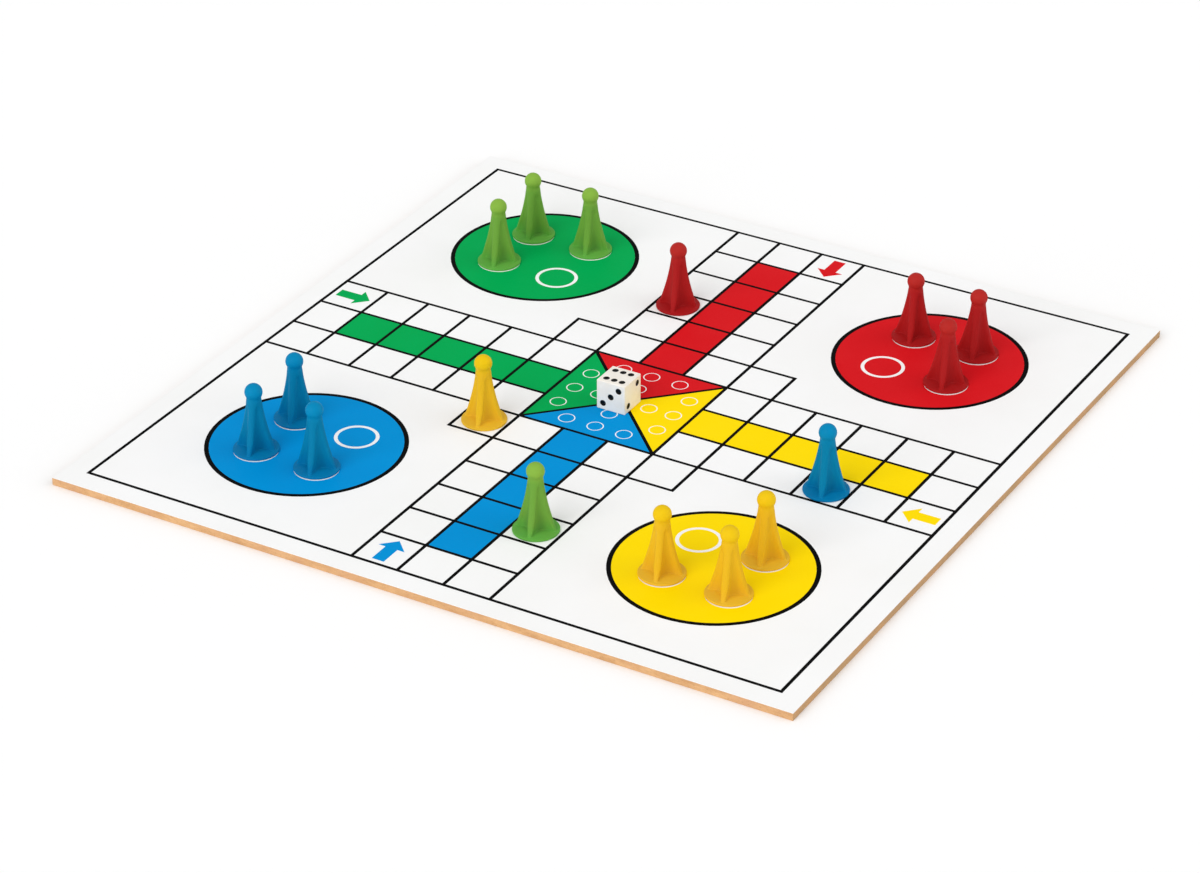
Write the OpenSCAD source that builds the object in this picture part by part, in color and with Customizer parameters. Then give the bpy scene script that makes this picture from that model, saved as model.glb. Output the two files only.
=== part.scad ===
// Ludo set: a square fibreboard with a printed white face, four sets of pawns and a die.
// Millimetres, +Z up. The origin is the centre of the board's underside.
// The blue lane runs along -Y, and the other colours follow clockwise from it.

/* [Board] */
// Side of one square of the track
cell = 18.75; // [18:0.25:24]
// Bare border between the frame line and the board's edge
border_w = 9.375; // [4:0.125:20]
// Thickness of the fibreboard
board_t = 2.9; // [2:0.1:6]
// Thickness of the white face on the fibreboard
face_t = 0.1; // [0.1:0.05:0.5]

/* [Print] */
// Thickness of the printed ink
ink_t = 0.05; // [0.03:0.01:0.1]
// Width of the black lines
line_w = 1.3; // [0.6:0.05:2]
// Gap left between two inks side by side
ink_gap = 0.02; // [0.01:0.01:0.05]
// Diameter of a coloured home disc
home_d = 71; // [66:0.5:80]
// Width of the black outline round a home disc
home_line_w = 1.7; // [0.8:0.1:3]
// Distance between the centres of two neighbouring home rings
home_ring_pitch = 26.25; // [24:0.25:30]
// Diameter of a home ring at the middle of its line
home_ring_d = 15.3; // [12:0.1:17]
// Width of a home ring's line
home_ring_w = 1.4; // [0.8:0.05:2.5]
// Diameter of a goal ring at the middle of its line
goal_ring_d = 6; // [4:0.1:6.5]
// Width of a goal ring's line
goal_ring_w = 0.45; // [0.25:0.05:1.2]
// Distance from the goal square's edge to its row of three rings
goal_inset = 7.1; // [6:0.1:8]
// Distance between the rings of that row
goal_pitch = 12.1; // [8:0.1:13]
// Distance from that row to the single ring behind it
goal_step = 10.3; // [8:0.1:11]
// Length of a start arrow
arrow_l = 14.1; // [10:0.1:16]
// Length of a start arrow's head
arrow_head_l = 5.3; // [3:0.1:8]
// Width of a start arrow's head
arrow_head_w = 10.7; // [7:0.1:14]
// Width of a start arrow's shaft
arrow_shaft_w = 4.9; // [2:0.1:6]

/* [Pawns] */
// Height of a pawn
pawn_h = 27.2; // [24:0.1:36]
// Diameter of the round base
base_d = 17; // [16.5:0.1:18]
// Height of the base's rim
rim_h = 0.8; // [0.6:0.1:1.5]
// Bevel along both edges of the rim
rim_bevel = 0.2; // [0.1:0.05:0.25]
// Rise of the base's top from its rim to its middle
base_rise = 1.5; // [0.8:0.1:2.5]
// Diameter of the shallow recess under the base
recess_d = 11; // [6:0.5:13]
// Depth of that recess
recess_h = 0.5; // [0.2:0.1:0.8]
// Diameter of the ball head
head_d = 6.6; // [5.6:0.1:8]
// Diameter of the neck under the head
neck_d = 5.2; // [5.1:0.05:5.5]
// Diameter across the ribs at the base
foot_d = 15.2; // [13:0.1:15.9]
// Diameter that the ribs' outline bends towards at mid height
waist_d = 7.4; // [6:0.1:9]
// Distance from the neck down to the tops of the flutes between the ribs
flute_drop = 1.5; // [0.8:0.1:4]
// Radius of a flute at its top
flute_top_r = 0.7; // [0.5:0.05:1.2]
// Radius of a flute at the base
flute_foot_r = 4; // [3.8:0.1:4.8]
// Diameter of the core between the flutes at their tops
core_top_d = 4.7; // [4.4:0.1:4.9]
// Diameter of the core between the flutes at the base
core_foot_d = 6.8; // [5.8:0.1:7.6]
// Height above the rim where the flutes start to flare
flare_h = 5; // [3:0.1:7]
// Growth of a flute's radius over the flare
flare_r = 1.4; // [1:0.1:3]
// Distance that the flare keeps off the core
flare_step = 0.3; // [0.1:0.05:0.5]
// Turn of the ribs from the board's sides, in degrees
pawn_turn = 12; // [0:1:89]
// Distance that a home pawn stands off its ring's centre
home_slip = 0.75; // [0:0.05:1.5]
// Direction of that slip, in degrees
home_slip_turn = 120; // [0:5:355]

/* [Die] */
// Edge of the die
die_edge = 12; // [10:0.5:16]
// Rounding of the die's edges
die_round = 0.4; // [0.3:0.1:1.2]
// Diameter of a pip
pip_d = 2.6; // [1.6:0.1:2.8]
// Depth of a pip's dimple
pip_depth = 0.5; // [0.3:0.05:0.8]
// Distance between the rows of pips
pip_pitch = 3.3; // [3:0.05:3.6]
// Depth of the paint's top below the die's face
paint_drop = 0.12; // [0.05:0.01:0.2]
// Gap between the paint and its dimple
paint_gap = 0.01; // [0.005:0.005:0.03]
// Place of the die along X
die_x = -0.4; // [-6:0.1:6]
// Place of the die along Y
die_y = -3; // [-6:0.1:6]

/* [Hidden] */
$fn = 96;

// The colours in turn order, clockwise from the arm along -Y
COLOURS = ["blue", "green", "red", "yellow"];
INK = [[0, 0.56, 0.83], [0, 0.65, 0.31], [0.84, 0.1, 0.12], [1, 0.86, 0]];
PLASTIC = [[0, 0.47, 0.66], [0.45, 0.65, 0.25], [0.67, 0.14, 0.14], [0.93, 0.74, 0.12]];
PAWNS = 4;

// Squares along an arm, and half the squares across an arm
arm_squares = 6;
arm_half = 1.5 * cell;
frame_half = arm_half + arm_squares * cell;
board_side = 2 * (frame_half + border_w);

// Levels of the layers and of the surface that the pieces stand on
face_z = board_t;
ink_z = face_z + face_t;
play_z = ink_z + ink_t;

// Centre of the blue home, and its rings as counts of half a pitch
home_place = -[1, 1] * (arm_half + arm_squares * cell / 2);
HOME_RINGS = [[-1, -1], [-1, 1], [1, -1], [1, 1]];

// Squares where each colour's last pawn stands, counted from the board's centre, and its slips there
TRACK_SQUARES = [[5, -1], [1, -5], [-1, 4], [-2, -2]];
TRACK_SLIPS = [[0.5, -0.5], [-0.2, -0.1], [-0.2, -0.1], [0, 0]];

// The goal: its ring rows and the corner points of one coloured triangle
goal_row = arm_half - goal_inset;
goal_near = goal_row - goal_step;
goal_edge = arm_half - line_w / 2 - ink_gap;
goal_tip = (line_w / 2 + ink_gap) * sqrt(2);

// The pawn's levels: the neck meets the head at neck_z and ends inside it at neck_top
head_z = pawn_h - head_d / 2;
neck_z = head_z - sqrt(pow(head_d / 2, 2) - pow(neck_d / 2, 2));
neck_top = (3 * neck_z + head_z) / 4;
rib_steps = 10;

// Radius of the ball that hollows a pip, and its centre above the die's face
dimple_r = (pow(pip_d / 2, 2) + pow(pip_depth, 2)) / (2 * pip_depth);
dimple_lift = dimple_r - pip_depth;
die_arc_steps = 4;

// Pips of each number as counts of the pitch, and the faces that carry the numbers
ONE = [[0, 0]];
TWO = [[-1, -1], [1, 1]];
THREE = concat(ONE, TWO);
FOUR = concat(TWO, [[-1, 1], [1, -1]]);
FIVE = concat(ONE, FOUR);
SIX = concat(FOUR, [[0, -1], [0, 1]]);
DIE_FACES = [
    [SIX, [0, 0, 0]],
    [ONE, [180, 0, 0]],
    [THREE, [90, 0, 0]],
    [TWO, [90, 0, 90]],
    [FOUR, [90, 0, 180]],
    [FIVE, [90, 0, 270]],
];

// Turn of a colour's side of the board from the blue side
function side_turn(k) = -90 * k;

// A point turned about the board's centre
function turned(p, a) = [p.x * cos(a) - p.y * sin(a), p.x * sin(a) + p.y * cos(a)];

// A point on the curve from a to c that bends towards b
function bend(a, b, c, t) = pow(1 - t, 2) * a + 2 * t * (1 - t) * b + pow(t, 2) * c;

// Where pawn n of colour k stands: three on their home rings, the last on the track
function pawn_place(k, n) =
    n < PAWNS
    ? turned(home_place + HOME_RINGS[n - 1] * home_ring_pitch / 2, side_turn(k))
        + home_slip * [cos(home_slip_turn), sin(home_slip_turn)]
    : TRACK_SQUARES[k] * cell + TRACK_SLIPS[k];

// Outline of a square with rounded corners
function rounded_square(side, r) = [
    for (q = [0 : 3]) for (i = [0 : die_arc_steps])
        let (a = 90 * (q + i / die_arc_steps), corner = 90 * q + 45)
            (side / 2 - r) * sqrt(2) * [cos(corner), sin(corner)] + r * [cos(a), sin(a)]
];

// Ink of a flat outline, on top of the white face
module ink() {
    translate([0, 0, ink_z]) linear_extrude(ink_t) children();
}

// Flat ring with its line centred on a diameter
module ring(d, w) {
    difference() {
        circle(d = d + w);
        circle(d = d - w);
    }
}

// Black line from one point to another along X or Y, with square ends
module line(from, to) {
    span = to - from;
    translate((from + to) / 2)
        square([abs(span.x) + line_w, abs(span.y) + line_w], center = true);
}

// Plain fibreboard
module mdf_board() {
    color([0.86, 0.68, 0.48])
        translate([-board_side / 2, -board_side / 2, 0]) cube([board_side, board_side, board_t]);
}

// White face bonded to the fibreboard
module white_face() {
    color([0.97, 0.97, 0.97])
        translate([-board_side / 2, -board_side / 2, face_z]) cube([board_side, board_side, face_t]);
}

// Black lines of one side: its frame line, its arm's squares and the corner square on its left
module side_lines() {
    line([-frame_half, -frame_half], [frame_half, -frame_half]);
    for (x = [-1.5 : 1.5]) line([x * cell, -frame_half], [x * cell, -arm_half]);
    for (i = [0 : arm_squares - 1]) {
        y = -arm_half - i * cell;
        line([-arm_half, y], [arm_half, y]);
    }
    corner = arm_half + cell;
    line([-corner, -corner], [-arm_half, -corner]);
    line([-corner, -corner], [-corner, -arm_half]);
    translate(home_place) ring(home_d + home_line_w, home_line_w);
}

// All black print
module black_print() {
    color([0.03, 0.03, 0.03]) ink() {
        for (k = [0 : 3]) rotate(side_turn(k)) side_lines();
        for (a = [45, 135]) rotate(a) square([2 * arm_half * sqrt(2), line_w], center = true);
    }
}

// Start arrow that points along +Y, centred on its square
module arrow() {
    neck_y = arrow_l / 2 - arrow_head_l;
    polygon([
        [-arrow_shaft_w / 2, -arrow_l / 2], [arrow_shaft_w / 2, -arrow_l / 2],
        [arrow_shaft_w / 2, neck_y], [arrow_head_w / 2, neck_y],
        [0, arrow_l / 2],
        [-arrow_head_w / 2, neck_y], [-arrow_shaft_w / 2, neck_y],
    ]);
}

// Home disc, with the white face showing through as four rings
module home_disc() {
    difference() {
        circle(d = home_d - 2 * ink_gap);
        for (p = HOME_RINGS) translate(p * home_ring_pitch / 2) ring(home_ring_d, home_ring_w);
    }
}

// Goal triangle of the blue side, with its rings
module goal_triangle() {
    half_w = goal_edge - goal_tip;
    difference() {
        polygon([[0, -goal_tip], [-half_w, -goal_edge], [half_w, -goal_edge]]);
        for (i = [-1 : 1]) translate([i * goal_pitch, -goal_row]) ring(goal_ring_d, goal_ring_w);
        translate([0, -goal_near]) ring(goal_ring_d, goal_ring_w);
    }
}

// Coloured print of one side: home, lane, goal and start arrow
module colour_print(k) {
    lane_square = cell - line_w - 2 * ink_gap;
    color(INK[k]) ink() rotate(side_turn(k)) {
        translate(home_place) home_disc();
        for (i = [0 : arm_squares - 2])
            translate([0, -arm_half - (i + 0.5) * cell]) square(lane_square, center = true);
        goal_triangle();
        translate([-cell, cell / 2 - frame_half]) arrow();
    }
}

// Round taper that leans in and narrows over a rise from the rim, and runs out past the base.
// Its inner side goes from one distance off the axis to another.
module taper(foot_side, foot_r, top_side, top_r, rise) {
    inward = foot_side + foot_r - top_side - top_r;
    length = norm([inward, rise]);
    over = rim_h / length * (foot_r - top_r);
    translate([foot_side + foot_r, 0, rim_h]) rotate([0, -atan(inward / rise), 0])
        translate([0, 0, -rim_h]) cylinder(r1 = foot_r + over, r2 = top_r, h = length + rim_h);
}

// Hollow between two ribs, with a blunt top and a flare near the base
module flute() {
    rise = neck_z - flute_drop - rim_h;
    share = flare_h / rise;
    flare_side = ((1 - share) * core_foot_d + share * core_top_d) / 2;
    flare_top_r = (1 - share) * flute_foot_r + share * flute_top_r;
    taper(core_foot_d / 2, flute_foot_r, core_top_d / 2, flute_top_r, rise);
    taper(core_foot_d / 2 + flare_step, flute_foot_r + flare_r,
        flare_side + flare_step, flare_top_r, flare_h);
}

// Flared stem with four ribs
module stem() {
    top = [neck_d / 2, neck_top];
    foot = [foot_d / 2, rim_h];
    waist = [waist_d / 2, (top.y + foot.y) / 2];
    outline = [for (i = [0 : rib_steps]) bend(top, waist, foot, i / rib_steps)];
    difference() {
        rotate_extrude() polygon(concat([[0, top.y]], outline, [[0, foot.y]]));
        for (i = [0 : 3]) rotate(90 * i + 45) flute();
    }
}

// Round base with a bevelled rim, a low cone on top and a recess below
module base() {
    rotate_extrude() polygon([
        [0, recess_h], [recess_d / 2, recess_h], [recess_d / 2, 0],
        [base_d / 2 - rim_bevel, 0], [base_d / 2, rim_bevel],
        [base_d / 2, rim_h - rim_bevel], [base_d / 2 - rim_bevel, rim_h],
        [0, rim_h + base_rise],
    ]);
}

// One moulded pawn: pawn n of colour k
module pawn(k, n) {
    color(PLASTIC[k]) translate([each pawn_place(k, n), play_z]) rotate(pawn_turn) {
        stem();
        base();
        translate([0, 0, head_z]) sphere(d = head_d);
    }
}

// The die's own place on the board
module on_die() {
    translate([die_x, die_y, play_z + die_edge / 2]) children();
}

// Places a shape at every pip, with the die's face at z = 0
module at_pips() {
    for (f = DIE_FACES) rotate(f[1])
        for (p = f[0]) translate([p.x * pip_pitch, p.y * pip_pitch, die_edge / 2]) children();
}

// Bar of the die's rounded section, longer than the die
module die_bar() {
    linear_extrude(2 * die_edge, center = true) polygon(rounded_square(die_edge, die_round));
}

// Die with a dimple for each pip
module die_cube() {
    color([0.94, 0.92, 0.88]) on_die() difference() {
        intersection() {
            die_bar();
            rotate([90, 0, 0]) die_bar();
            rotate([0, 90, 0]) die_bar();
        }
        at_pips() translate([0, 0, dimple_lift]) sphere(dimple_r);
    }
}

// Black paint at the bottom of each dimple
module die_pips() {
    color([0.05, 0.05, 0.05]) on_die() at_pips() intersection() {
        translate([0, 0, dimple_lift]) sphere(dimple_r - paint_gap);
        translate([0, 0, -paint_drop - pip_depth])
            cube([2 * pip_d, 2 * pip_d, 2 * pip_depth], center = true);
    }
}

mdf_board();
white_face();
black_print();
for (k = [0 : 3])
    colour_print(k);
for (k = [0 : 3]) for (n = [1 : PAWNS])
    pawn(k, n);
die_cube();
die_pips();
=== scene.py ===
"""Looks of a ludo set: a printed fibreboard, four teams of moulded pawns and a die.

Metres, +Z up. The origin is the centre of the board's underside, and the blue lane runs along -Y.
"""

import logging
import math
from dataclasses import dataclass
from enum import Enum
from typing import Sequence

import bmesh
import bpy
from mathutils import Euler, Matrix, Vector


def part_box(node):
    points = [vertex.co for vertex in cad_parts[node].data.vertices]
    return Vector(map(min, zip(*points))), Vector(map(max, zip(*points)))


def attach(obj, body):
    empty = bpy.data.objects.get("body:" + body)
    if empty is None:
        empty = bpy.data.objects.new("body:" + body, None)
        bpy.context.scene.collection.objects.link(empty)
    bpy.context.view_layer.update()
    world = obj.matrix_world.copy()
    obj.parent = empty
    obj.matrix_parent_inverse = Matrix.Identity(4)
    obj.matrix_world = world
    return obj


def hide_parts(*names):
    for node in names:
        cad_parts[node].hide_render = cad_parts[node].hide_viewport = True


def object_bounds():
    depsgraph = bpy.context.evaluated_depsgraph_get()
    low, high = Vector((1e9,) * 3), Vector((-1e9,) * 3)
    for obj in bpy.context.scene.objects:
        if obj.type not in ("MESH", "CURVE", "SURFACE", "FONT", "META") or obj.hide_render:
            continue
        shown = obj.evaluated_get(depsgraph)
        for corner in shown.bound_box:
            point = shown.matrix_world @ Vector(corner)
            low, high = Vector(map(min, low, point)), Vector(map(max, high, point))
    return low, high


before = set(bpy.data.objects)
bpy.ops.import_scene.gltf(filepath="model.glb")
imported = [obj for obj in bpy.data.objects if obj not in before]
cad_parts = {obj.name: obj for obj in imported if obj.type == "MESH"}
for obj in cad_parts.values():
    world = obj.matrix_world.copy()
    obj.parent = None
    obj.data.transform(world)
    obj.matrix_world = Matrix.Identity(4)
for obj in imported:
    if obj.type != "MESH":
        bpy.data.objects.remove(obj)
CAD_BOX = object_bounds()

MM = 0.001
LOG = logging.getLogger("ludo")

Colour = tuple[float, float, float]
Grain = tuple[float, float, float]


class Team(Enum):
    """The four teams, clockwise from the blue lane."""

    BLUE = "blue"
    GREEN = "green"
    RED = "red"
    YELLOW = "yellow"


def screen(red: int, green: int, blue: int) -> Colour:
    """Turns an 8-bit sRGB screen colour into the linear colour that a shader takes.

    Args:
        red: Red level, 0 to 255.
        green: Green level, 0 to 255.
        blue: Blue level, 0 to 255.

    Returns:
        The linear red, green and blue, 0 to 1.
    """
    shares = (level / 255 for level in (red, green, blue))
    return tuple(s / 12.92 if s <= 0.04045 else ((s + 0.055) / 1.055) ** 2.4 for s in shares)


class Value:
    """A shader socket that takes part in Python arithmetic."""

    def __init__(self, graph: "Graph", socket: bpy.types.NodeSocket) -> None:
        """Wraps an output socket of a graph's node."""
        self.graph = graph
        self.socket = socket

    def _math(self, operation: str, first: "Value | float", second: "Value | float") -> "Value":
        """Adds a Math node.

        Args:
            operation: The Math node's operation.
            first: Its first value.
            second: Its second value.

        Returns:
            The node's result.
        """
        node = self.graph.node("ShaderNodeMath", {"operation": operation}, {0: first, 1: second})
        return Value(self.graph, node.outputs[0])

    def __add__(self, other: "Value | float") -> "Value":
        """Returns self + other."""
        return self._math("ADD", self, other)

    def __radd__(self, other: float) -> "Value":
        """Returns other + self."""
        return self._math("ADD", other, self)

    def __sub__(self, other: "Value | float") -> "Value":
        """Returns self - other."""
        return self._math("SUBTRACT", self, other)

    def __rsub__(self, other: float) -> "Value":
        """Returns other - self."""
        return self._math("SUBTRACT", other, self)

    def __mul__(self, other: "Value | float") -> "Value":
        """Returns self * other."""
        return self._math("MULTIPLY", self, other)

    def __rmul__(self, other: float) -> "Value":
        """Returns other * self."""
        return self._math("MULTIPLY", other, self)


Source = Value | float | Sequence[float]


class Graph:
    """The node tree of one material or of the world."""

    # Numbers of a Mix node's sockets for colours
    MIX_LOW = 6
    MIX_HIGH = 7
    MIX_RESULT = 2

    def __init__(self, tree: bpy.types.NodeTree) -> None:
        """Empties a node tree and takes it over."""
        self.tree = tree
        tree.nodes.clear()
        self.coordinates = self.node("ShaderNodeTexCoord")

    def node(self, kind: str, settings: dict | None = None, sockets: dict | None = None) -> bpy.types.Node:
        """Adds a node.

        Args:
            kind: The node's type.
            settings: Its own settings, set first. "stops" are a ramp's positions and grey levels.
            sockets: Values or links of its inputs, by name or number.

        Returns:
            The new node.
        """
        made = self.tree.nodes.new(kind)
        for name, setting in (settings or {}).items():
            if name == "stops":
                self._set_stops(made.color_ramp, setting)
            else:
                setattr(made, name, setting)
        for key, source in (sockets or {}).items():
            if isinstance(source, Value):
                self.tree.links.new(source.socket, made.inputs[key])
            else:
                made.inputs[key].default_value = source
        return made

    @staticmethod
    def _set_stops(ramp: bpy.types.ColorRamp, stops: Sequence[tuple[float, float]]) -> None:
        """Sets a ramp's stops.

        Args:
            ramp: The ramp, which has two stops so far.
            stops: Position and grey level of each stop, in rising order.
        """
        while len(ramp.elements) < len(stops):
            ramp.elements.new(1.0)
        for element, (position, level) in zip(ramp.elements, stops):
            element.position = position
            element.color = (level, level, level, 1)

    def out(self, node: bpy.types.Node, key: str | int = 0) -> Value:
        """Returns one of a node's outputs."""
        return Value(self, node.outputs[key])

    def along(self, axis: int) -> Value:
        """Returns the place along one of the object's axes, in metres: 0 for X, 1 for Y, 2 for Z."""
        place = self.out(self.coordinates, "Object")
        return self.out(self.node("ShaderNodeSeparateXYZ", None, {0: place}), axis)

    def off_axis(self) -> Value:
        """Returns the distance from the object's Z axis, in metres."""
        place = self.out(self.coordinates, "Object")
        flat = self.node("ShaderNodeVectorMath", {"operation": "MULTIPLY"}, {0: place, 1: (1, 1, 0)})
        length = self.node("ShaderNodeVectorMath", {"operation": "LENGTH"}, {0: self.out(flat)})
        return self.out(length, "Value")

    def cloud(self, grain: Sequence[float], detail: float = 3.0, roughness: float = 0.5) -> Value:
        """Adds cloudy variation about 0.5.

        Args:
            grain: Size of its grains along X, Y and Z.
            detail: How many finer layers it has.
            roughness: How strong the finer layers are.

        Returns:
            The variation.
        """
        place = self.out(self.coordinates, "Object")
        spread = self.node("ShaderNodeVectorMath", {"operation": "DIVIDE"}, {0: place, 1: grain})
        settings = {"Vector": self.out(spread), "Scale": 1.0, "Detail": detail, "Roughness": roughness}
        return self.out(self.node("ShaderNodeTexNoise", None, settings), "Fac")

    def mix(self, factor: Value, low: Source, high: Source) -> Value:
        """Mixes two colours.

        Args:
            factor: Share of the second colour, held between 0 and 1.
            low: Colour at 0.
            high: Colour at 1.

        Returns:
            The mixed colour.
        """
        ends = {0: factor, self.MIX_LOW: self._colour(low), self.MIX_HIGH: self._colour(high)}
        return self.out(self.node("ShaderNodeMix", {"data_type": "RGBA"}, ends), self.MIX_RESULT)

    @staticmethod
    def _colour(source: Source) -> Source:
        """Gives a plain colour its fourth number."""
        return source if isinstance(source, Value) else (*source, 1.0)

    def bump(self, height: Value, depth: float) -> Value:
        """Adds a bump.

        Args:
            height: Height of the surface, 0 to 1.
            depth: Depth in metres that a height of 1 stands for.

        Returns:
            The bumped normal.
        """
        return self.out(self.node("ShaderNodeBump", None, {"Distance": depth, "Height": height}))

    def surface(self, sockets: dict) -> None:
        """Adds the surface's shader with these values or links of its sockets."""
        if not isinstance(sockets["Base Color"], Value):
            sockets["Base Color"] = self._colour(sockets["Base Color"])
        shader = self.node("ShaderNodeBsdfPrincipled", None, sockets)
        self.node("ShaderNodeOutputMaterial", None, {"Surface": self.out(shader)})


def new_material(name: str) -> tuple[bpy.types.Material, Graph]:
    """Makes an empty material.

    Args:
        name: The material's name.

    Returns:
        The material and its graph.
    """
    material = bpy.data.materials.new(name)
    material.use_nodes = True
    return material, Graph(material.node_tree)


@dataclass(frozen=True)
class BareFibreboard:
    """Sawn fibreboard: pressed fibres that lie flat, in paler and pinker patches, with darker flecks.

    The two sides across X are browner than the other two: painted shade, in patches.
    """

    light: Colour = screen(226, 182, 133)
    dark: Colour = screen(199, 151, 103)
    pink: Colour = screen(208, 159, 120)
    fleck: Colour = screen(160, 116, 78)
    # Painted shade: the darker brown of the two sides across X.
    side_shade: Colour = screen(183, 149, 111)
    fibre: Grain = (1.8 * MM, 1.8 * MM, 0.3 * MM)
    clump: Grain = (9 * MM, 9 * MM, 3 * MM)
    patch: Grain = (16 * MM, 16 * MM, 16 * MM)
    fuzz: float = 0.12 * MM
    fibre_contrast: float = 1.6
    clump_contrast: float = 1.8
    pink_from: float = 0.45
    pink_gain: float = 3.0
    # Share and patchiness of the painted shade on the sides across X.
    side_shade_share: float = 0.8
    side_shade_contrast: float = 2.4
    fleck_size: float = 0.6
    fleck_from: float = 0.62
    fleck_gain: float = 9.0
    roughness: float = 0.78
    roughness_swing: float = 0.2
    shine: float = 0.1

    def material(self) -> bpy.types.Material:
        """Returns the material."""
        material, graph = new_material("bare fibreboard")
        fibres = graph.cloud(self.fibre, detail=5, roughness=0.6)
        clumps = graph.cloud(self.clump, detail=2)
        tone = 0.5 + (fibres - 0.5) * self.fibre_contrast + (clumps - 0.5) * self.clump_contrast
        wood = graph.mix(tone, self.dark, self.light)
        pinks = (graph.cloud(self.patch, detail=2) - self.pink_from) * self.pink_gain
        patched = graph.mix(pinks, wood, self.pink)
        facing = graph.node("ShaderNodeSeparateXYZ", None, {0: graph.out(graph.coordinates, "Normal")})
        # Painted shade: darkens the two sides across X towards that brown, in patches.
        across_x = graph.out(facing) * graph.out(facing)
        side_shading = self.side_shade_share + (clumps - 0.5) * self.side_shade_contrast
        side_shaded = graph.mix(across_x * side_shading, patched, self.side_shade)
        fleck_grain = tuple(size * self.fleck_size for size in self.fibre)
        flecks = (graph.cloud(fleck_grain, detail=2) - self.fleck_from) * self.fleck_gain
        graph.surface({
            "Base Color": graph.mix(flecks, side_shaded, self.fleck),
            "Roughness": self.roughness + self.roughness_swing * fibres,
            "Specular IOR Level": self.shine,
            "Normal": graph.bump(fibres, self.fuzz),
        })
        return material


@dataclass(frozen=True)
class WhiteCoat:
    """Smooth white coat with a faint orange peel."""

    white: Colour = screen(250, 250, 250)
    dull: Colour = screen(247, 247, 246)
    peel: Grain = (0.9 * MM, 0.9 * MM, 0.9 * MM)
    patch: Grain = (45 * MM, 45 * MM, 45 * MM)
    peel_depth: float = 0.012 * MM
    patch_contrast: float = 3.0
    roughness: float = 0.42
    roughness_swing: float = 0.16
    shine: float = 0.1

    def material(self) -> bpy.types.Material:
        """Returns the material."""
        material, graph = new_material("white coat")
        peel = graph.cloud(self.peel, detail=2)
        patches = graph.cloud(self.patch)
        graph.surface({
            "Base Color": graph.mix(0.5 + (patches - 0.5) * self.patch_contrast, self.dull, self.white),
            "Roughness": self.roughness + self.roughness_swing * peel,
            "Specular IOR Level": self.shine,
            "Normal": graph.bump(peel, self.peel_depth),
        })
        return material


@dataclass(frozen=True)
class Ink:
    """Printed ink: nearly even, with a fine grain where it lies thinner."""

    name: str
    full: Colour
    thin: Colour
    grain: Grain = (0.35 * MM, 0.35 * MM, 0.35 * MM)
    patch: Grain = (25 * MM, 25 * MM, 25 * MM)
    peel: Grain = (0.9 * MM, 0.9 * MM, 0.9 * MM)
    peel_depth: float = 0.012 * MM
    thin_share: float = 0.25
    grain_contrast: float = 1.6
    patch_contrast: float = 1.2
    roughness: float = 0.48
    roughness_swing: float = 0.16
    shine: float = 0.02

    def material(self) -> bpy.types.Material:
        """Returns the material."""
        material, graph = new_material(self.name)
        grain = graph.cloud(self.grain, detail=2)
        patches = graph.cloud(self.patch, detail=2)
        unevenness = (grain - 0.5) * self.grain_contrast + (patches - 0.5) * self.patch_contrast
        thin = self.thin_share + unevenness
        peel = graph.cloud(self.peel, detail=2)
        graph.surface({
            "Base Color": graph.mix(thin, self.full, self.thin),
            "Roughness": self.roughness + self.roughness_swing * peel,
            "Specular IOR Level": self.shine,
            "Normal": graph.bump(peel, self.peel_depth),
        })
        return material


@dataclass(frozen=True)
class Moulding:
    """Satin moulded plastic with painted light: paler at the head as painted top light, and darker low in
    the flutes as painted shade; with flow marks and scuffs.
    """

    name: str
    # Painted top light: the head's colour is paler to stand in for light from above.
    head: Colour
    body: Colour
    foot: Colour
    # Painted shade: the darker colour that stands in for the shade low in the flutes.
    flute_shade: Colour
    scuffed: Colour
    foot_h: float = 6 * MM
    head_z: float = 24 * MM
    # Painted top light: the head colour is full above head_z and fades out over this height below it.
    top_light_fade: float = 4 * MM
    # Reach of the painted flute shade: its radius at the foot, how it narrows with height, and how far it
    # fades.
    flute_shade_r: float = 5.6 * MM
    flute_shade_lean: float = 0.25
    flute_shade_fade: float = 3 * MM
    flow: Grain = (5 * MM, 5 * MM, 11 * MM)
    flow_shift: float = 5 * MM
    spark: Grain = (0.3 * MM, 0.3 * MM, 0.3 * MM)
    spark_depth: float = 0.01 * MM
    scuff_from: float = 0.54
    scuff_gain: float = 3.0
    roughness: float = 0.4
    spark_swing: float = 0.16
    flow_swing: float = 0.1
    shine: float = 0.06
    scatter_share: float = 0.05
    scatter: float = 0.8 * MM

    def material(self) -> bpy.types.Material:
        """Returns the material."""
        material, graph = new_material(self.name)
        flow = graph.cloud(self.flow)
        spark = graph.cloud(self.spark, detail=2)
        height = graph.along(2) + (flow - 0.5) * self.flow_shift
        low = graph.mix(height * (1 / self.foot_h), self.foot, self.body)
        # Painted shade: darkens the colour near the axis, low in the flutes.
        flute_shade_mask = (self.flute_shade_r - self.flute_shade_lean * height - graph.off_axis()) * (1 / self.flute_shade_fade)
        body = graph.mix(flute_shade_mask, low, self.flute_shade)
        # Painted top light: pales the colour towards the head.
        plastic = graph.mix(1 + (height - self.head_z) * (1 / self.top_light_fade), body, self.head)
        crest = graph.out(graph.node("ShaderNodeNewGeometry"), "Pointiness")
        scuffs = (crest - self.scuff_from) * self.scuff_gain * graph.cloud(self.spark, detail=4)
        graph.surface({
            "Base Color": graph.mix(scuffs, plastic, self.scuffed),
            "Roughness": self.roughness + self.spark_swing * spark + self.flow_swing * flow,
            "Specular IOR Level": self.shine,
            "Subsurface Weight": self.scatter_share,
            "Subsurface Radius": self.head,
            "Subsurface Scale": self.scatter,
            "Normal": graph.bump(spark, self.spark_depth),
        })
        return material


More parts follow.
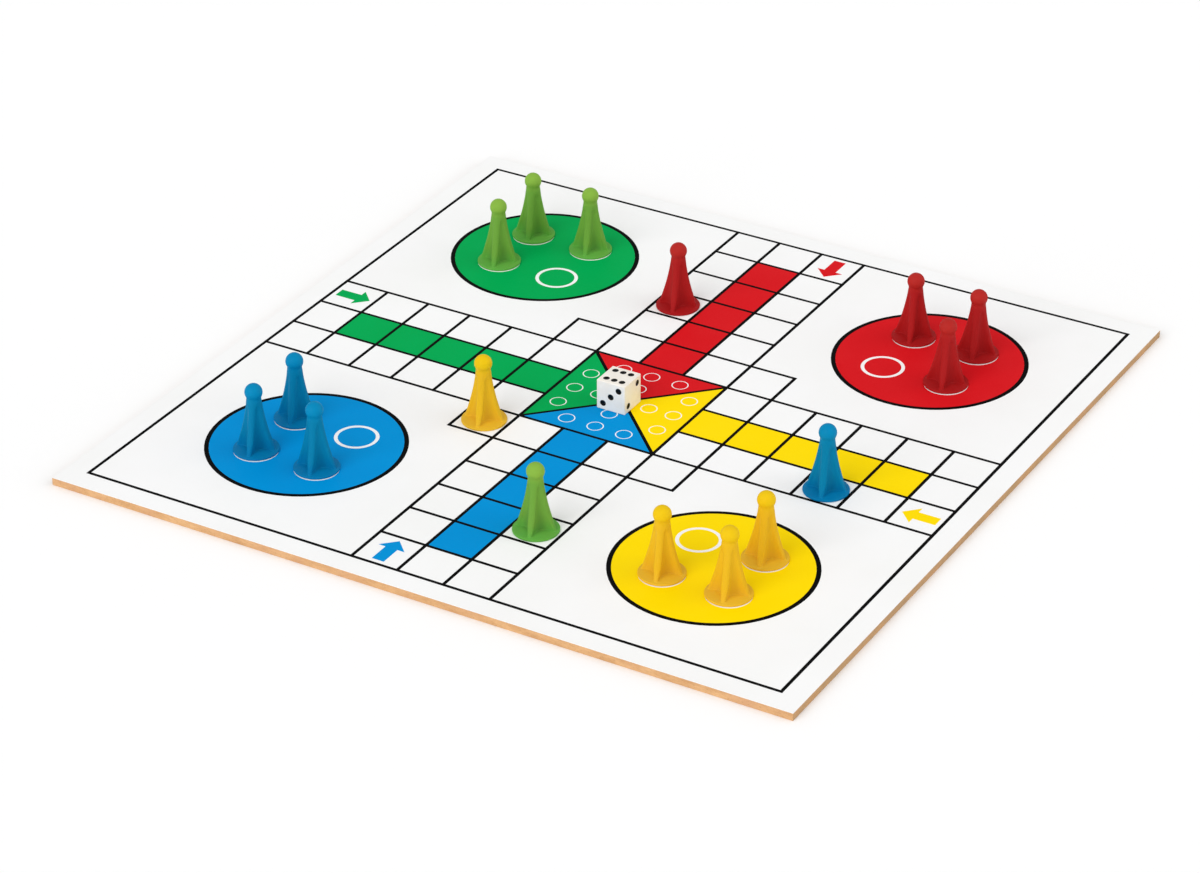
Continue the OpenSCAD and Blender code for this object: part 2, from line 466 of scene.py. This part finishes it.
@dataclass(frozen=True)
class Ivory:
    """Warm white die plastic with hairline scratches from tumbling."""

    white: Colour = screen(244, 239, 231)
    warm: Colour = screen(238, 231, 221)
    patch: Grain = (5 * MM, 5 * MM, 5 * MM)
    scratch: Grain = (2.6 * MM, 0.12 * MM, 0.5 * MM)
    scratch_depth: float = 0.006 * MM
    patch_contrast: float = 2.5
    roughness: float = 0.26
    roughness_swing: float = 0.18
    shine: float = 0.4
    scatter_share: float = 0.15
    scatter: float = 0.9 * MM

    def material(self) -> bpy.types.Material:
        """Returns the material."""
        material, graph = new_material("ivory plastic")
        patches = graph.cloud(self.patch, detail=2)
        scratches = graph.cloud(self.scratch, detail=4, roughness=0.6)
        graph.surface({
            "Base Color": graph.mix(0.5 + (patches - 0.5) * self.patch_contrast, self.warm, self.white),
            "Roughness": self.roughness + self.roughness_swing * scratches,
            "Specular IOR Level": self.shine,
            "Subsurface Weight": self.scatter_share,
            "Subsurface Radius": self.white,
            "Subsurface Scale": self.scatter,
            "Normal": graph.bump(scratches, self.scratch_depth),
        })
        return material


@dataclass(frozen=True)
class PipPaint:
    """Black paint, pooled and shiny, a little uneven."""

    black: Colour = screen(6, 6, 6)
    worn: Colour = screen(22, 20, 19)
    pool: Grain = (0.6 * MM, 0.6 * MM, 0.6 * MM)
    pool_depth: float = 0.02 * MM
    wear_gain: float = 3.0
    roughness: float = 0.24
    roughness_swing: float = 0.2
    shine: float = 0.12

    def material(self) -> bpy.types.Material:
        """Returns the material."""
        material, graph = new_material("pip paint")
        pools = graph.cloud(self.pool, detail=2)
        graph.surface({
            "Base Color": graph.mix((pools - 0.5) * self.wear_gain, self.black, self.worn),
            "Roughness": self.roughness + self.roughness_swing * pools,
            "Specular IOR Level": self.shine,
            "Normal": graph.bump(pools, self.pool_depth),
        })
        return material


@dataclass(frozen=True)
class FloorPaper:
    """Plain white studio paper."""

    white: Colour = (0.99, 0.99, 0.99)

    def material(self) -> bpy.types.Material:
        """Returns the material."""
        material, graph = new_material("floor paper")
        graph.surface({"Base Color": self.white, "Roughness": 1.0, "Specular IOR Level": 0.0})
        return material


INKS = {
    Team.BLUE: Ink("blue ink", full=screen(0, 143, 213), thin=screen(0, 149, 217)),
    Team.GREEN: Ink("green ink", full=screen(0, 166, 80), thin=screen(0, 172, 90)),
    Team.RED: Ink("red ink", full=screen(214, 22, 30), thin=screen(219, 34, 40)),
    Team.YELLOW: Ink("yellow ink", full=screen(255, 220, 0), thin=screen(255, 224, 16)),
}
BLACK_INK = Ink("black ink", full=screen(6, 6, 6), thin=screen(16, 16, 17))

# The darkest colour of each team is painted shade low in the flutes.
# The head colour of each team holds painted top light.
PLASTICS = {
    Team.BLUE: Moulding(
        "blue plastic",
        head=screen(0, 130, 178),
        body=screen(0, 121, 163),
        foot=screen(0, 116, 169),
        flute_shade=screen(0, 97, 139),
        scuffed=screen(16, 146, 192),
    ),
    Team.GREEN: Moulding(
        "green plastic",
        head=screen(131, 174, 66),
        body=screen(107, 158, 60),
        foot=screen(94, 168, 68),
        flute_shade=screen(76, 124, 52),
        scuffed=screen(148, 190, 86),
    ),
    Team.RED: Moulding(
        "red plastic",
        head=screen(174, 40, 36),
        body=screen(165, 29, 30),
        foot=screen(161, 23, 25),
        flute_shade=screen(152, 26, 28),
        scuffed=screen(196, 58, 54),
    ),
    Team.YELLOW: Moulding(
        "yellow plastic",
        head=screen(229, 189, 18),
        body=screen(224, 177, 32),
        foot=screen(225, 179, 48),
        flute_shade=screen(208, 155, 36),
        scuffed=screen(245, 213, 50),
    ),
}


def new_piece(mesh: bpy.types.Mesh, material: bpy.types.Material, place: Vector) -> bpy.types.Object:
    """Makes an object of a mesh.

    Args:
        mesh: The mesh, whose name the object takes.
        material: Its material.
        place: Where its origin goes.

    Returns:
        The object.
    """
    piece = bpy.data.objects.new(mesh.name, mesh)
    piece.location = place
    mesh.materials.append(material)
    bpy.context.scene.collection.objects.link(piece)
    return piece


def dress_node(node: str, material: bpy.types.Material) -> bpy.types.Object:
    """Gives a CAD node its material.

    Args:
        node: The node's name.
        material: Its material.

    Returns:
        The node's object.
    """
    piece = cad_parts[node]
    piece.data.materials.clear()
    piece.data.materials.append(material)
    LOG.info("%s: %s", node, material.name)
    return piece


def bend(start: Vector, corner: Vector, end: Vector, share: float) -> Vector:
    """Returns the point at a share of the curve that bends from start towards corner to end."""
    rest = 1 - share
    return start * rest * rest + corner * 2 * rest * share + end * share * share


def eased(share: float) -> float:
    """Returns a share, held between 0 and 1 and eased at both ends."""
    held = min(max(share, 0), 1)
    return held * held * (3 - 2 * held)


def polar(radius: float, turn: float, height: float) -> Vector:
    """Returns the point at a radius and a turn about Z, at a height."""
    return Vector((radius * math.cos(turn), radius * math.sin(turn), height))


def lofted(name: str, rings: Sequence[Sequence[Vector]], top: Vector, bottom: Vector) -> bpy.types.Mesh:
    """Makes a closed smooth mesh through rings of points.

    Args:
        name: The mesh's name.
        rings: Rings of equally many points, from top to bottom, each anticlockwise from above.
        top: The point that closes the first ring.
        bottom: The point that closes the last ring.

    Returns:
        The mesh.
    """
    columns = len(rings[0])
    points = [top, *(point for ring in rings for point in ring), bottom]
    last = len(points) - 1
    faces = []
    for column in range(columns):
        after = (column + 1) % columns
        faces.append((0, 1 + column, 1 + after))
        for row in range(len(rings) - 1):
            upper = 1 + row * columns
            lower = upper + columns
            faces.append((upper + column, lower + column, lower + after, upper + after))
        final = 1 + (len(rings) - 1) * columns
        faces.append((last, final + after, final + column))
    mesh = bpy.data.meshes.new(name)
    mesh.from_pydata(points, [], faces)
    mesh.shade_smooth()
    return mesh


@dataclass
class Board:
    """The fibreboard, its white face and the five printed inks."""

    arris: float = 0.12 * MM
    face_arris: float = 0.05 * MM
    arris_steps: int = 2
    weld_gap: float = 0.001 * MM

    def dress(self) -> None:
        """Dresses the board's CAD nodes and eases their edges."""
        self._ease(dress_node("mdf_board", BareFibreboard().material()), self.arris)
        self._ease(dress_node("white_face", WhiteCoat().material()), self.face_arris)
        dress_node("black_print", BLACK_INK.material())
        for team, ink in INKS.items():
            dress_node(f"{team.value}_print", ink.material())

    def _ease(self, piece: bpy.types.Object, width: float) -> None:
        """Rounds a board's edges.

        Args:
            piece: The board.
            width: Width of the rounding.
        """
        weld = piece.modifiers.new("weld", "WELD")
        weld.merge_threshold = self.weld_gap
        rounding = piece.modifiers.new("arris", "BEVEL")
        rounding.width = width
        rounding.segments = self.arris_steps
        rounding.harden_normals = True


@dataclass
class PawnShape:
    """Sizes of a moulded pawn, and its mesh: a ball head on a flared stem of four ribs on a round base."""

    height: float
    base_d: float
    rim_h: float = 0.8 * MM
    rim_round: float = 0.28 * MM
    base_rise: float = 1.5 * MM
    recess_d: float = 11 * MM
    recess_h: float = 0.5 * MM
    recess_round: float = 0.15 * MM
    head_d: float = 6.6 * MM
    neck_d: float = 5.2 * MM
    waist_d: float = 7.4 * MM
    foot_d: float = 15.2 * MM
    flute_drop: float = 1.5 * MM
    flute_top_r: float = 0.7 * MM
    flute_foot_r: float = 4 * MM
    flute_flare: float = 1.4 * MM
    flare_h: float = 5 * MM
    flute_run_out: float = 3 * MM
    flute_least: float = 0.02 * MM
    core_top_d: float = 4.7 * MM
    core_foot_d: float = 6.8 * MM
    ribs: int = 4
    rib_turn: float = math.radians(12)
    crest_round: float = 1.1 * MM
    crest_share: float = 0.9
    flute_share: float = 0.6
    foot_fillet: float = 0.35 * MM
    neck_fillet: float = 0.7 * MM
    crest_steps: int = 2
    round_steps: int = 4
    flute_steps: int = 6
    head_steps: int = 12
    neck_steps: int = 8
    stem_steps: int = 20
    fillet_steps: int = 5
    base_steps: int = 4
    edge_steps: int = 4
    solve_steps: int = 8

    @property
    def head_z(self) -> float:
        """Height of the head's centre."""
        return self.height - self.head_d / 2

    @property
    def neck_z(self) -> float:
        """Height where the neck meets the head."""
        return self.head_z - math.sqrt(self.head_d ** 2 - self.neck_d ** 2) / 2

    @property
    def stem_start(self) -> float:
        """Height where the stem's curve starts: a quarter of the way from the neck to the head's centre."""
        return (3 * self.neck_z + self.head_z) / 4

    @property
    def flute_top(self) -> float:
        """Height of the flutes' tops."""
        return self.neck_z - self.flute_drop

    def section(self, z: float) -> list[Vector]:
        """Outline of the stem at one height.

        Args:
            z: Height above the underside.

        Returns:
            The outline's points, anticlockwise from the middle of a rib's crest.
        """
        fall = (self.stem_start - z) / (self.stem_start - self.rim_h)
        rest = 1 - fall
        rib = (rest ** 2 * self.neck_d + 2 * fall * rest * self.waist_d + fall ** 2 * self.foot_d) / 2
        sink = max(self.flute_top - z, 0) / (self.flute_top - self.rim_h)
        flute = self.flute_top_r + sink * (self.flute_foot_r - self.flute_top_r)
        flute += self.flute_flare * max(1 - (z - self.rim_h) / self.flare_h, 0)
        core = (self.core_top_d + sink * (self.core_foot_d - self.core_top_d)) / 2
        fade = eased(1 - (self.flute_top - z) / self.flute_run_out)
        core += (rib - self.flute_least - core) * fade
        axis = core + flute
        edge_turn = math.acos((rib ** 2 + axis ** 2 - flute ** 2) / (2 * axis * rib))
        edge_swing = math.acos((axis ** 2 + flute ** 2 - rib ** 2) / (2 * axis * flute))
        crest_middle = math.pi / self.ribs
        crest_half = crest_middle - edge_turn
        crest_start = edge_turn + min(self.crest_round / rib, self.crest_share * crest_half)
        flute_start = edge_swing - min(self.crest_round / flute, self.flute_share * edge_swing)

        def in_flute(swing: float) -> Vector:
            """Returns the point of the flute at a swing about its axis."""
            return Vector((axis - flute * math.cos(swing), flute * math.sin(swing), z))

        half = [polar(rib, crest_middle + (crest_start - crest_middle) * i / self.crest_steps, z)
                for i in range(self.crest_steps)]
        start, corner, end = polar(rib, crest_start, z), polar(rib, edge_turn, z), in_flute(flute_start)
        half += [bend(start, corner, end, i / self.round_steps) for i in range(self.round_steps)]
        half += [in_flute(flute_start * (1 - i / self.flute_steps)) for i in range(self.flute_steps)]
        middle = in_flute(0)
        mirrored = [Vector((p.x, -p.y, p.z)) for p in half]
        sector = mirrored + [middle] + half[:0:-1]
        first = self.rib_turn + crest_middle
        turns = [Matrix.Rotation(first + 2 * crest_middle * i, 3, "Z") for i in range(self.ribs)]
        return [turn @ point for turn in turns for point in sector]

    def column(self, index: int, count: int) -> list[Vector]:
        """Points of one column of the mesh, from near the head's top to near the middle of the underside.

        Args:
            index: Which point of the stem's outline the column runs through.
            count: How many columns there are.

        Returns:
            The column's points.
        """
        even_turn = self.rib_turn + 2 * math.pi * index / count
        head_r = self.head_d / 2
        base_r = self.base_d / 2

        def stem(z: float) -> Vector:
            """Returns the stem's point of this column at a height."""
            return self.section(z)[index]

        def turn_of(point: Vector) -> float:
            """Returns a point's turn about Z, close to this column's even turn."""
            turn = math.atan2(point.y, point.x)
            return turn + 2 * math.pi * round((even_turn - turn) / (2 * math.pi))

        def base_top(radius: float) -> float:
            """Returns the height of the base's top at a radius."""
            return self.rim_h + self.base_rise * (1 - radius / base_r)

        neck = self.neck_z
        foot = self.rim_h + self.base_rise / 2
        for _ in range(self.solve_steps):
            neck = self.head_z - math.sqrt(head_r ** 2 - stem(neck).xy.length_squared)
            foot = base_top(stem(foot).xy.length)
        neck_corner, foot_corner = stem(neck), stem(foot)
        neck_turn, foot_turn = turn_of(neck_corner), turn_of(foot_corner)

        neck_drop = math.acos((neck - self.head_z) / head_r)
        head_drop = neck_drop - self.neck_fillet / head_r
        points = []
        for i in range(1, self.head_steps + 1):
            share = i / self.head_steps
            drop = head_drop * share
            turn = even_turn + (neck_turn - even_turn) * share
            points.append(polar(head_r * math.sin(drop), turn, self.head_z + head_r * math.cos(drop)))
        stem_top = neck - self.neck_fillet
        steps = range(1, self.fillet_steps)
        points += [bend(points[-1], neck_corner, stem(stem_top), i / self.fillet_steps) for i in steps]
        flute_start = self.flute_top - self.flute_run_out
        stem_end = foot + self.foot_fillet
        for i in range(self.neck_steps):
            points.append(stem(stem_top + (flute_start - stem_top) * i / self.neck_steps))
        for i in range(self.stem_steps + 1):
            points.append(stem(flute_start + (stem_end - flute_start) * i / self.stem_steps))
        rim_start = base_r - self.rim_round
        foot_r = foot_corner.xy.length
        spread = min(foot_r + self.foot_fillet, (foot_r + rim_start) / 2)
        base_start = polar(spread, foot_turn, base_top(spread))
        points += [bend(stem(stem_end), foot_corner, base_start, i / self.fillet_steps) for i in steps]
        for i in range(self.base_steps + 1):
            share = i / self.base_steps
            radius = spread + (rim_start - spread) * share
            points.append(polar(radius, foot_turn + (even_turn - foot_turn) * share, base_top(radius)))
        points += self._underside(base_top(rim_start), even_turn)
        return points

    def _underside(self, rim_top: float, turn: float) -> list[Vector]:
        """Points of one column round the rim and under the base.

        Args:
            rim_top: Height where the rim's rounding starts.
            turn: The column's turn about Z.

        Returns:
            The points, from the rim to near the middle of the recess.
        """
        base_r, recess_r = self.base_d / 2, self.recess_d / 2
        edge, lip = self.rim_round, self.recess_round
        corners = [
            (Vector((base_r - edge, rim_top)), Vector((base_r, rim_top)), Vector((base_r, rim_top - edge))),
            (Vector((base_r, edge)), Vector((base_r, 0)), Vector((base_r - edge, 0))),
            (Vector((recess_r + lip, 0)), Vector((recess_r, 0)), Vector((recess_r, lip))),
            (Vector((recess_r, self.recess_h - lip)), Vector((recess_r, self.recess_h)),
             Vector((recess_r - lip, self.recess_h))),
        ]
        shares = [i / self.edge_steps for i in range(self.edge_steps + 1)]
        profile = [bend(*corner, share) for corner in corners for share in shares][1:]
        return [polar(point.x, turn, point.y) for point in profile]

    def mesh(self, name: str) -> bpy.types.Mesh:
        """Makes the pawn's mesh, which stands on the origin.

        Args:
            name: The mesh's name.

        Returns:
            The mesh.
        """
        count = len(self.section(self.height / 2))
        columns = [self.column(index, count) for index in range(count)]
        rings = [[column[row] for column in columns] for row in range(len(columns[0]))]
        return lofted(name, rings, Vector((0, 0, self.height)), Vector((0, 0, self.recess_h)))


@dataclass
class PawnTeam:
    """The four pawns of one team."""

    team: Team
    mould: bpy.types.Mesh
    pawns: int = 4

    def build(self) -> None:
        """Builds and dresses the team's pawns in the places of their CAD nodes."""
        material = PLASTICS[self.team].material()
        for number in range(1, self.pawns + 1):
            node = f"{self.team.value}_pawn_{number}"
            low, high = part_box(node)
            middle = (low + high) / 2
            mesh = self.mould.copy()
            mesh.name = f"{node}_moulding"
            pawn = new_piece(mesh, material, Vector((middle.x, middle.y, low.z)))
            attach(pawn, node)
            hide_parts(node)
            LOG.info("%s: %d faces", pawn.name, len(pawn.data.polygons))


class DieFace(Enum):
    """The die's faces: how far each is turned from the top, in degrees, and its pips in pitches."""

    TOP = ((0, 0, 0), ((-1, -1), (0, -1), (1, -1), (-1, 1), (0, 1), (1, 1)))
    BOTTOM = ((180, 0, 0), ((0, 0),))
    FRONT = ((90, 0, 0), ((-1, -1), (0, 0), (1, 1)))
    RIGHT = ((90, 0, 90), ((-1, -1), (1, 1)))
    BACK = ((90, 0, 180), ((-1, -1), (1, 1), (-1, 1), (1, -1)))
    LEFT = ((90, 0, 270), ((-1, -1), (1, 1), (-1, 1), (1, -1), (0, 0)))

    @property
    def turn(self) -> Matrix:
        """Turn from the top to this face."""
        return Euler([math.radians(angle) for angle in self.value[0]]).to_matrix().to_4x4()

    @property
    def pips(self) -> tuple[tuple[int, int], ...]:
        """Places of the pips, in pitches from the face's middle."""
        return self.value[1]


@dataclass
class Die:
    """The die: a cube with rounded edges, and the paint in its dimples."""

    edge_round: float = 0.4 * MM
    pip_d: float = 2.6 * MM
    pip_depth: float = 0.5 * MM
    pip_pitch: float = 3.3 * MM
    paint_gap: float = 0.01 * MM
    paint_drop: float = 0.06 * MM
    paint_t: float = 0.14 * MM
    sharp_turn: float = math.radians(30)
    round_steps: int = 6
    pip_steps: int = 40
    bowl_steps: int = 10

    def build(self) -> None:
        """Builds and dresses the die in the place of its CAD nodes."""
        low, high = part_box("die_cube")
        edge = high.x - low.x
        place = (low + high) / 2
        cube = new_piece(self._cube(edge), Ivory().material(), place)
        pips = new_piece(self._pips(edge), PipPaint().material(), place)
        for piece, node, slot in ((cube, "die_cube", "ivory_plastic"), (pips, "die_pips", "black_paint")):
            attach(piece, "die")
            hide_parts(node)
            LOG.info("%s: %d faces", piece.name, len(piece.data.polygons))

    @property
    def dimple_r(self) -> float:
        """Radius of the ball that hollows a dimple."""
        return ((self.pip_d / 2) ** 2 + self.pip_depth ** 2) / (2 * self.pip_depth)

    def _pip_places(self, edge: float) -> list[Matrix]:
        """Places of all pips.

        Args:
            edge: Edge of the die.

        Returns:
            A matrix for each pip, which puts its face at z = 0.
        """
        return [
            face.turn @ Matrix.Translation((x * self.pip_pitch, y * self.pip_pitch, edge / 2))
            for face in DieFace
            for x, y in face.pips
        ]

    def _cube(self, edge: float) -> bpy.types.Mesh:
        """Makes the cube with its dimples.

        Args:
            edge: Edge of the die.

        Returns:
            The mesh, about the origin.
        """
        block = bmesh.new()
        bmesh.ops.create_cube(block, size=edge)
        bmesh.ops.bevel(block, geom=block.edges[:], offset=self.edge_round, segments=self.round_steps,
                        profile=0.5, affect="EDGES")
        balls = bmesh.new()
        lift = Matrix.Translation((0, 0, self.dimple_r - self.pip_depth))
        for place in self._pip_places(edge):
            bmesh.ops.create_uvsphere(balls, u_segments=self.pip_steps, v_segments=self.pip_steps,
                                      radius=self.dimple_r, matrix=place @ lift)
        solids = []
        for name, shape in (("die_block", block), ("dimple_balls", balls)):
            mesh = bpy.data.meshes.new(name)
            shape.to_mesh(mesh)
            shape.free()
            solids.append(bpy.data.objects.new(name, mesh))
            bpy.context.scene.collection.objects.link(solids[-1])
        cut = solids[0].modifiers.new("dimples", "BOOLEAN")
        cut.operation = "DIFFERENCE"
        cut.solver = "EXACT"
        cut.object = solids[1]
        graph = bpy.context.evaluated_depsgraph_get()
        mesh = bpy.data.meshes.new_from_object(solids[0].evaluated_get(graph))
        for solid in solids:
            bpy.data.objects.remove(solid)
        mesh.name = "die_cube_moulding"
        mesh.materials.clear()
        mesh.shade_smooth()
        mesh.set_sharp_from_angle(angle=self.sharp_turn)
        return mesh

    def _pips(self, edge: float) -> bpy.types.Mesh:
        """Makes the paint: a thin bowl in each dimple.

        Args:
            edge: Edge of the die.

        Returns:
            The mesh of all bowls, about the origin.
        """
        bowl_r = self.dimple_r - self.paint_gap
        centre_z = self.dimple_r - self.pip_depth
        rim_r = math.sqrt(bowl_r ** 2 - (centre_z + self.paint_drop) ** 2)
        floor_z = centre_z - bowl_r
        sag = -self.paint_drop - floor_z - self.paint_t
        steps = self.bowl_steps
        upper = [(rim_r * i / steps, -self.paint_drop - sag * (1 - (i / steps) ** 2))
                 for i in range(1, steps + 1)]
        swing = math.asin(rim_r / bowl_r)
        lower = [(bowl_r * math.sin(swing * i / steps), centre_z - bowl_r * math.cos(swing * i / steps))
                 for i in range(steps - 1, 0, -1)]
        rings = [[polar(radius, 2 * math.pi * k / self.pip_steps, z) for k in range(self.pip_steps)]
                 for radius, z in upper + lower]
        bowl = lofted("pip", rings, Vector((0, 0, -self.paint_drop - sag)), Vector((0, 0, floor_z)))
        joined = bmesh.new()
        for place in self._pip_places(edge):
            copy = bowl.copy()
            copy.transform(place)
            joined.from_mesh(copy)
            bpy.data.meshes.remove(copy)
        mesh = bpy.data.meshes.new("die_pips_paint")
        joined.to_mesh(mesh)
        joined.free()
        mesh.shade_smooth()
        return mesh


@dataclass(frozen=True)
class Lamp:
    """A soft lamp far away: its strength, and its turn right of -Y, its height and its width in degrees."""

    name: str
    strength: float
    azimuth: float
    elevation: float
    width: float


@dataclass
class Studio:
    """White floor, soft light and the camera."""

    floor_side: float = 60.0
    floor_drop: float = 0.02 * MM
    dome_stops: tuple[tuple[float, float], ...] = ((0.0, 0.95), (0.06, 0.6), (1.0, 0.71))
    lamps: tuple[Lamp, ...] = (
        Lamp("key", strength=1.5, azimuth=-10, elevation=30, width=50),
        Lamp("rim", strength=0.8, azimuth=115, elevation=24, width=60),
    )
    aim: tuple[float, float, float] = (12.0 * MM, -25.85 * MM, 3.0 * MM)
    camera_distance: float = 1.4638
    camera_azimuth: float = math.radians(29.99)
    camera_elevation: float = math.radians(30.33)
    lens: float = 120.68
    lens_shift: tuple[float, float] = (-0.0141, 0.0031)

    def build(self) -> None:
        """Builds the floor, the light and the camera."""
        bpy.context.scene.view_settings.view_transform = "Standard"
        self._floor()
        self._dome()
        for lamp in self.lamps:
            self._hang(lamp)
        self._camera()

    @staticmethod
    def _towards(azimuth: float, elevation: float) -> Vector:
        """Direction from the board to a lamp or camera.

        Args:
            azimuth: Turn to the right of -Y.
            elevation: Angle above the floor.

        Returns:
            The direction, one metre long.
        """
        flat = math.cos(elevation)
        return Vector((math.sin(azimuth) * flat, -math.cos(azimuth) * flat, math.sin(elevation)))

    def _floor(self) -> None:
        """Lays the floor just under the board."""
        half = self.floor_side / 2
        corners = [(-half, -half, 0), (half, -half, 0), (half, half, 0), (-half, half, 0)]
        mesh = bpy.data.meshes.new("floor")
        mesh.from_pydata(corners, [], [(0, 1, 2, 3)])
        floor = new_piece(mesh, FloorPaper().material(), Vector((0, 0, CAD_BOX[0].z - self.floor_drop)))

    def _dome(self) -> None:
        """Lights the world as a dome, brightest at the horizon."""
        world = bpy.data.worlds.new("dome")
        bpy.context.scene.world = world
        world.use_nodes = True
        graph = Graph(world.node_tree)
        height = graph.node("ShaderNodeSeparateXYZ", None, {0: graph.out(graph.coordinates, "Generated")})
        ramp = graph.node("ShaderNodeValToRGB", {"stops": self.dome_stops}, {0: graph.out(height, 2)})
        light = graph.node("ShaderNodeBackground", None, {"Color": graph.out(ramp)})
        graph.node("ShaderNodeOutputWorld", None, {"Surface": graph.out(light)})

    def _hang(self, lamp: Lamp) -> None:
        """Adds a soft lamp."""
        light = bpy.data.lights.new(lamp.name, "SUN")
        light.energy = lamp.strength
        light.angle = math.radians(lamp.width)
        holder = bpy.data.objects.new(lamp.name, light)
        back = self._towards(math.radians(lamp.azimuth), math.radians(lamp.elevation))
        holder.rotation_euler = back.to_track_quat("Z", "Y").to_euler()
        bpy.context.scene.collection.objects.link(holder)

    def _camera(self) -> None:
        """Adds the camera."""
        lens = bpy.data.cameras.new("camera")
        lens.lens = self.lens
        lens.shift_x, lens.shift_y = self.lens_shift
        camera = bpy.data.objects.new("camera", lens)
        back = self._towards(self.camera_azimuth, self.camera_elevation)
        camera.location = Vector(self.aim) + back * self.camera_distance
        camera.rotation_euler = back.to_track_quat("Z", "Y").to_euler()
        bpy.context.scene.collection.objects.link(camera)
        bpy.context.scene.camera = camera


def main() -> None:
    """Builds the studio and the set."""
    logging.basicConfig(level=logging.INFO, format="%(message)s")
    Studio().build()
    Board().dress()
    low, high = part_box("blue_pawn_1")
    mould = PawnShape(height=high.z - low.z, base_d=high.x - low.x).mesh("pawn_mould")
    for team in Team:
        PawnTeam(team, mould).build()
    Die().build()


if __name__ == "__main__":
    main()
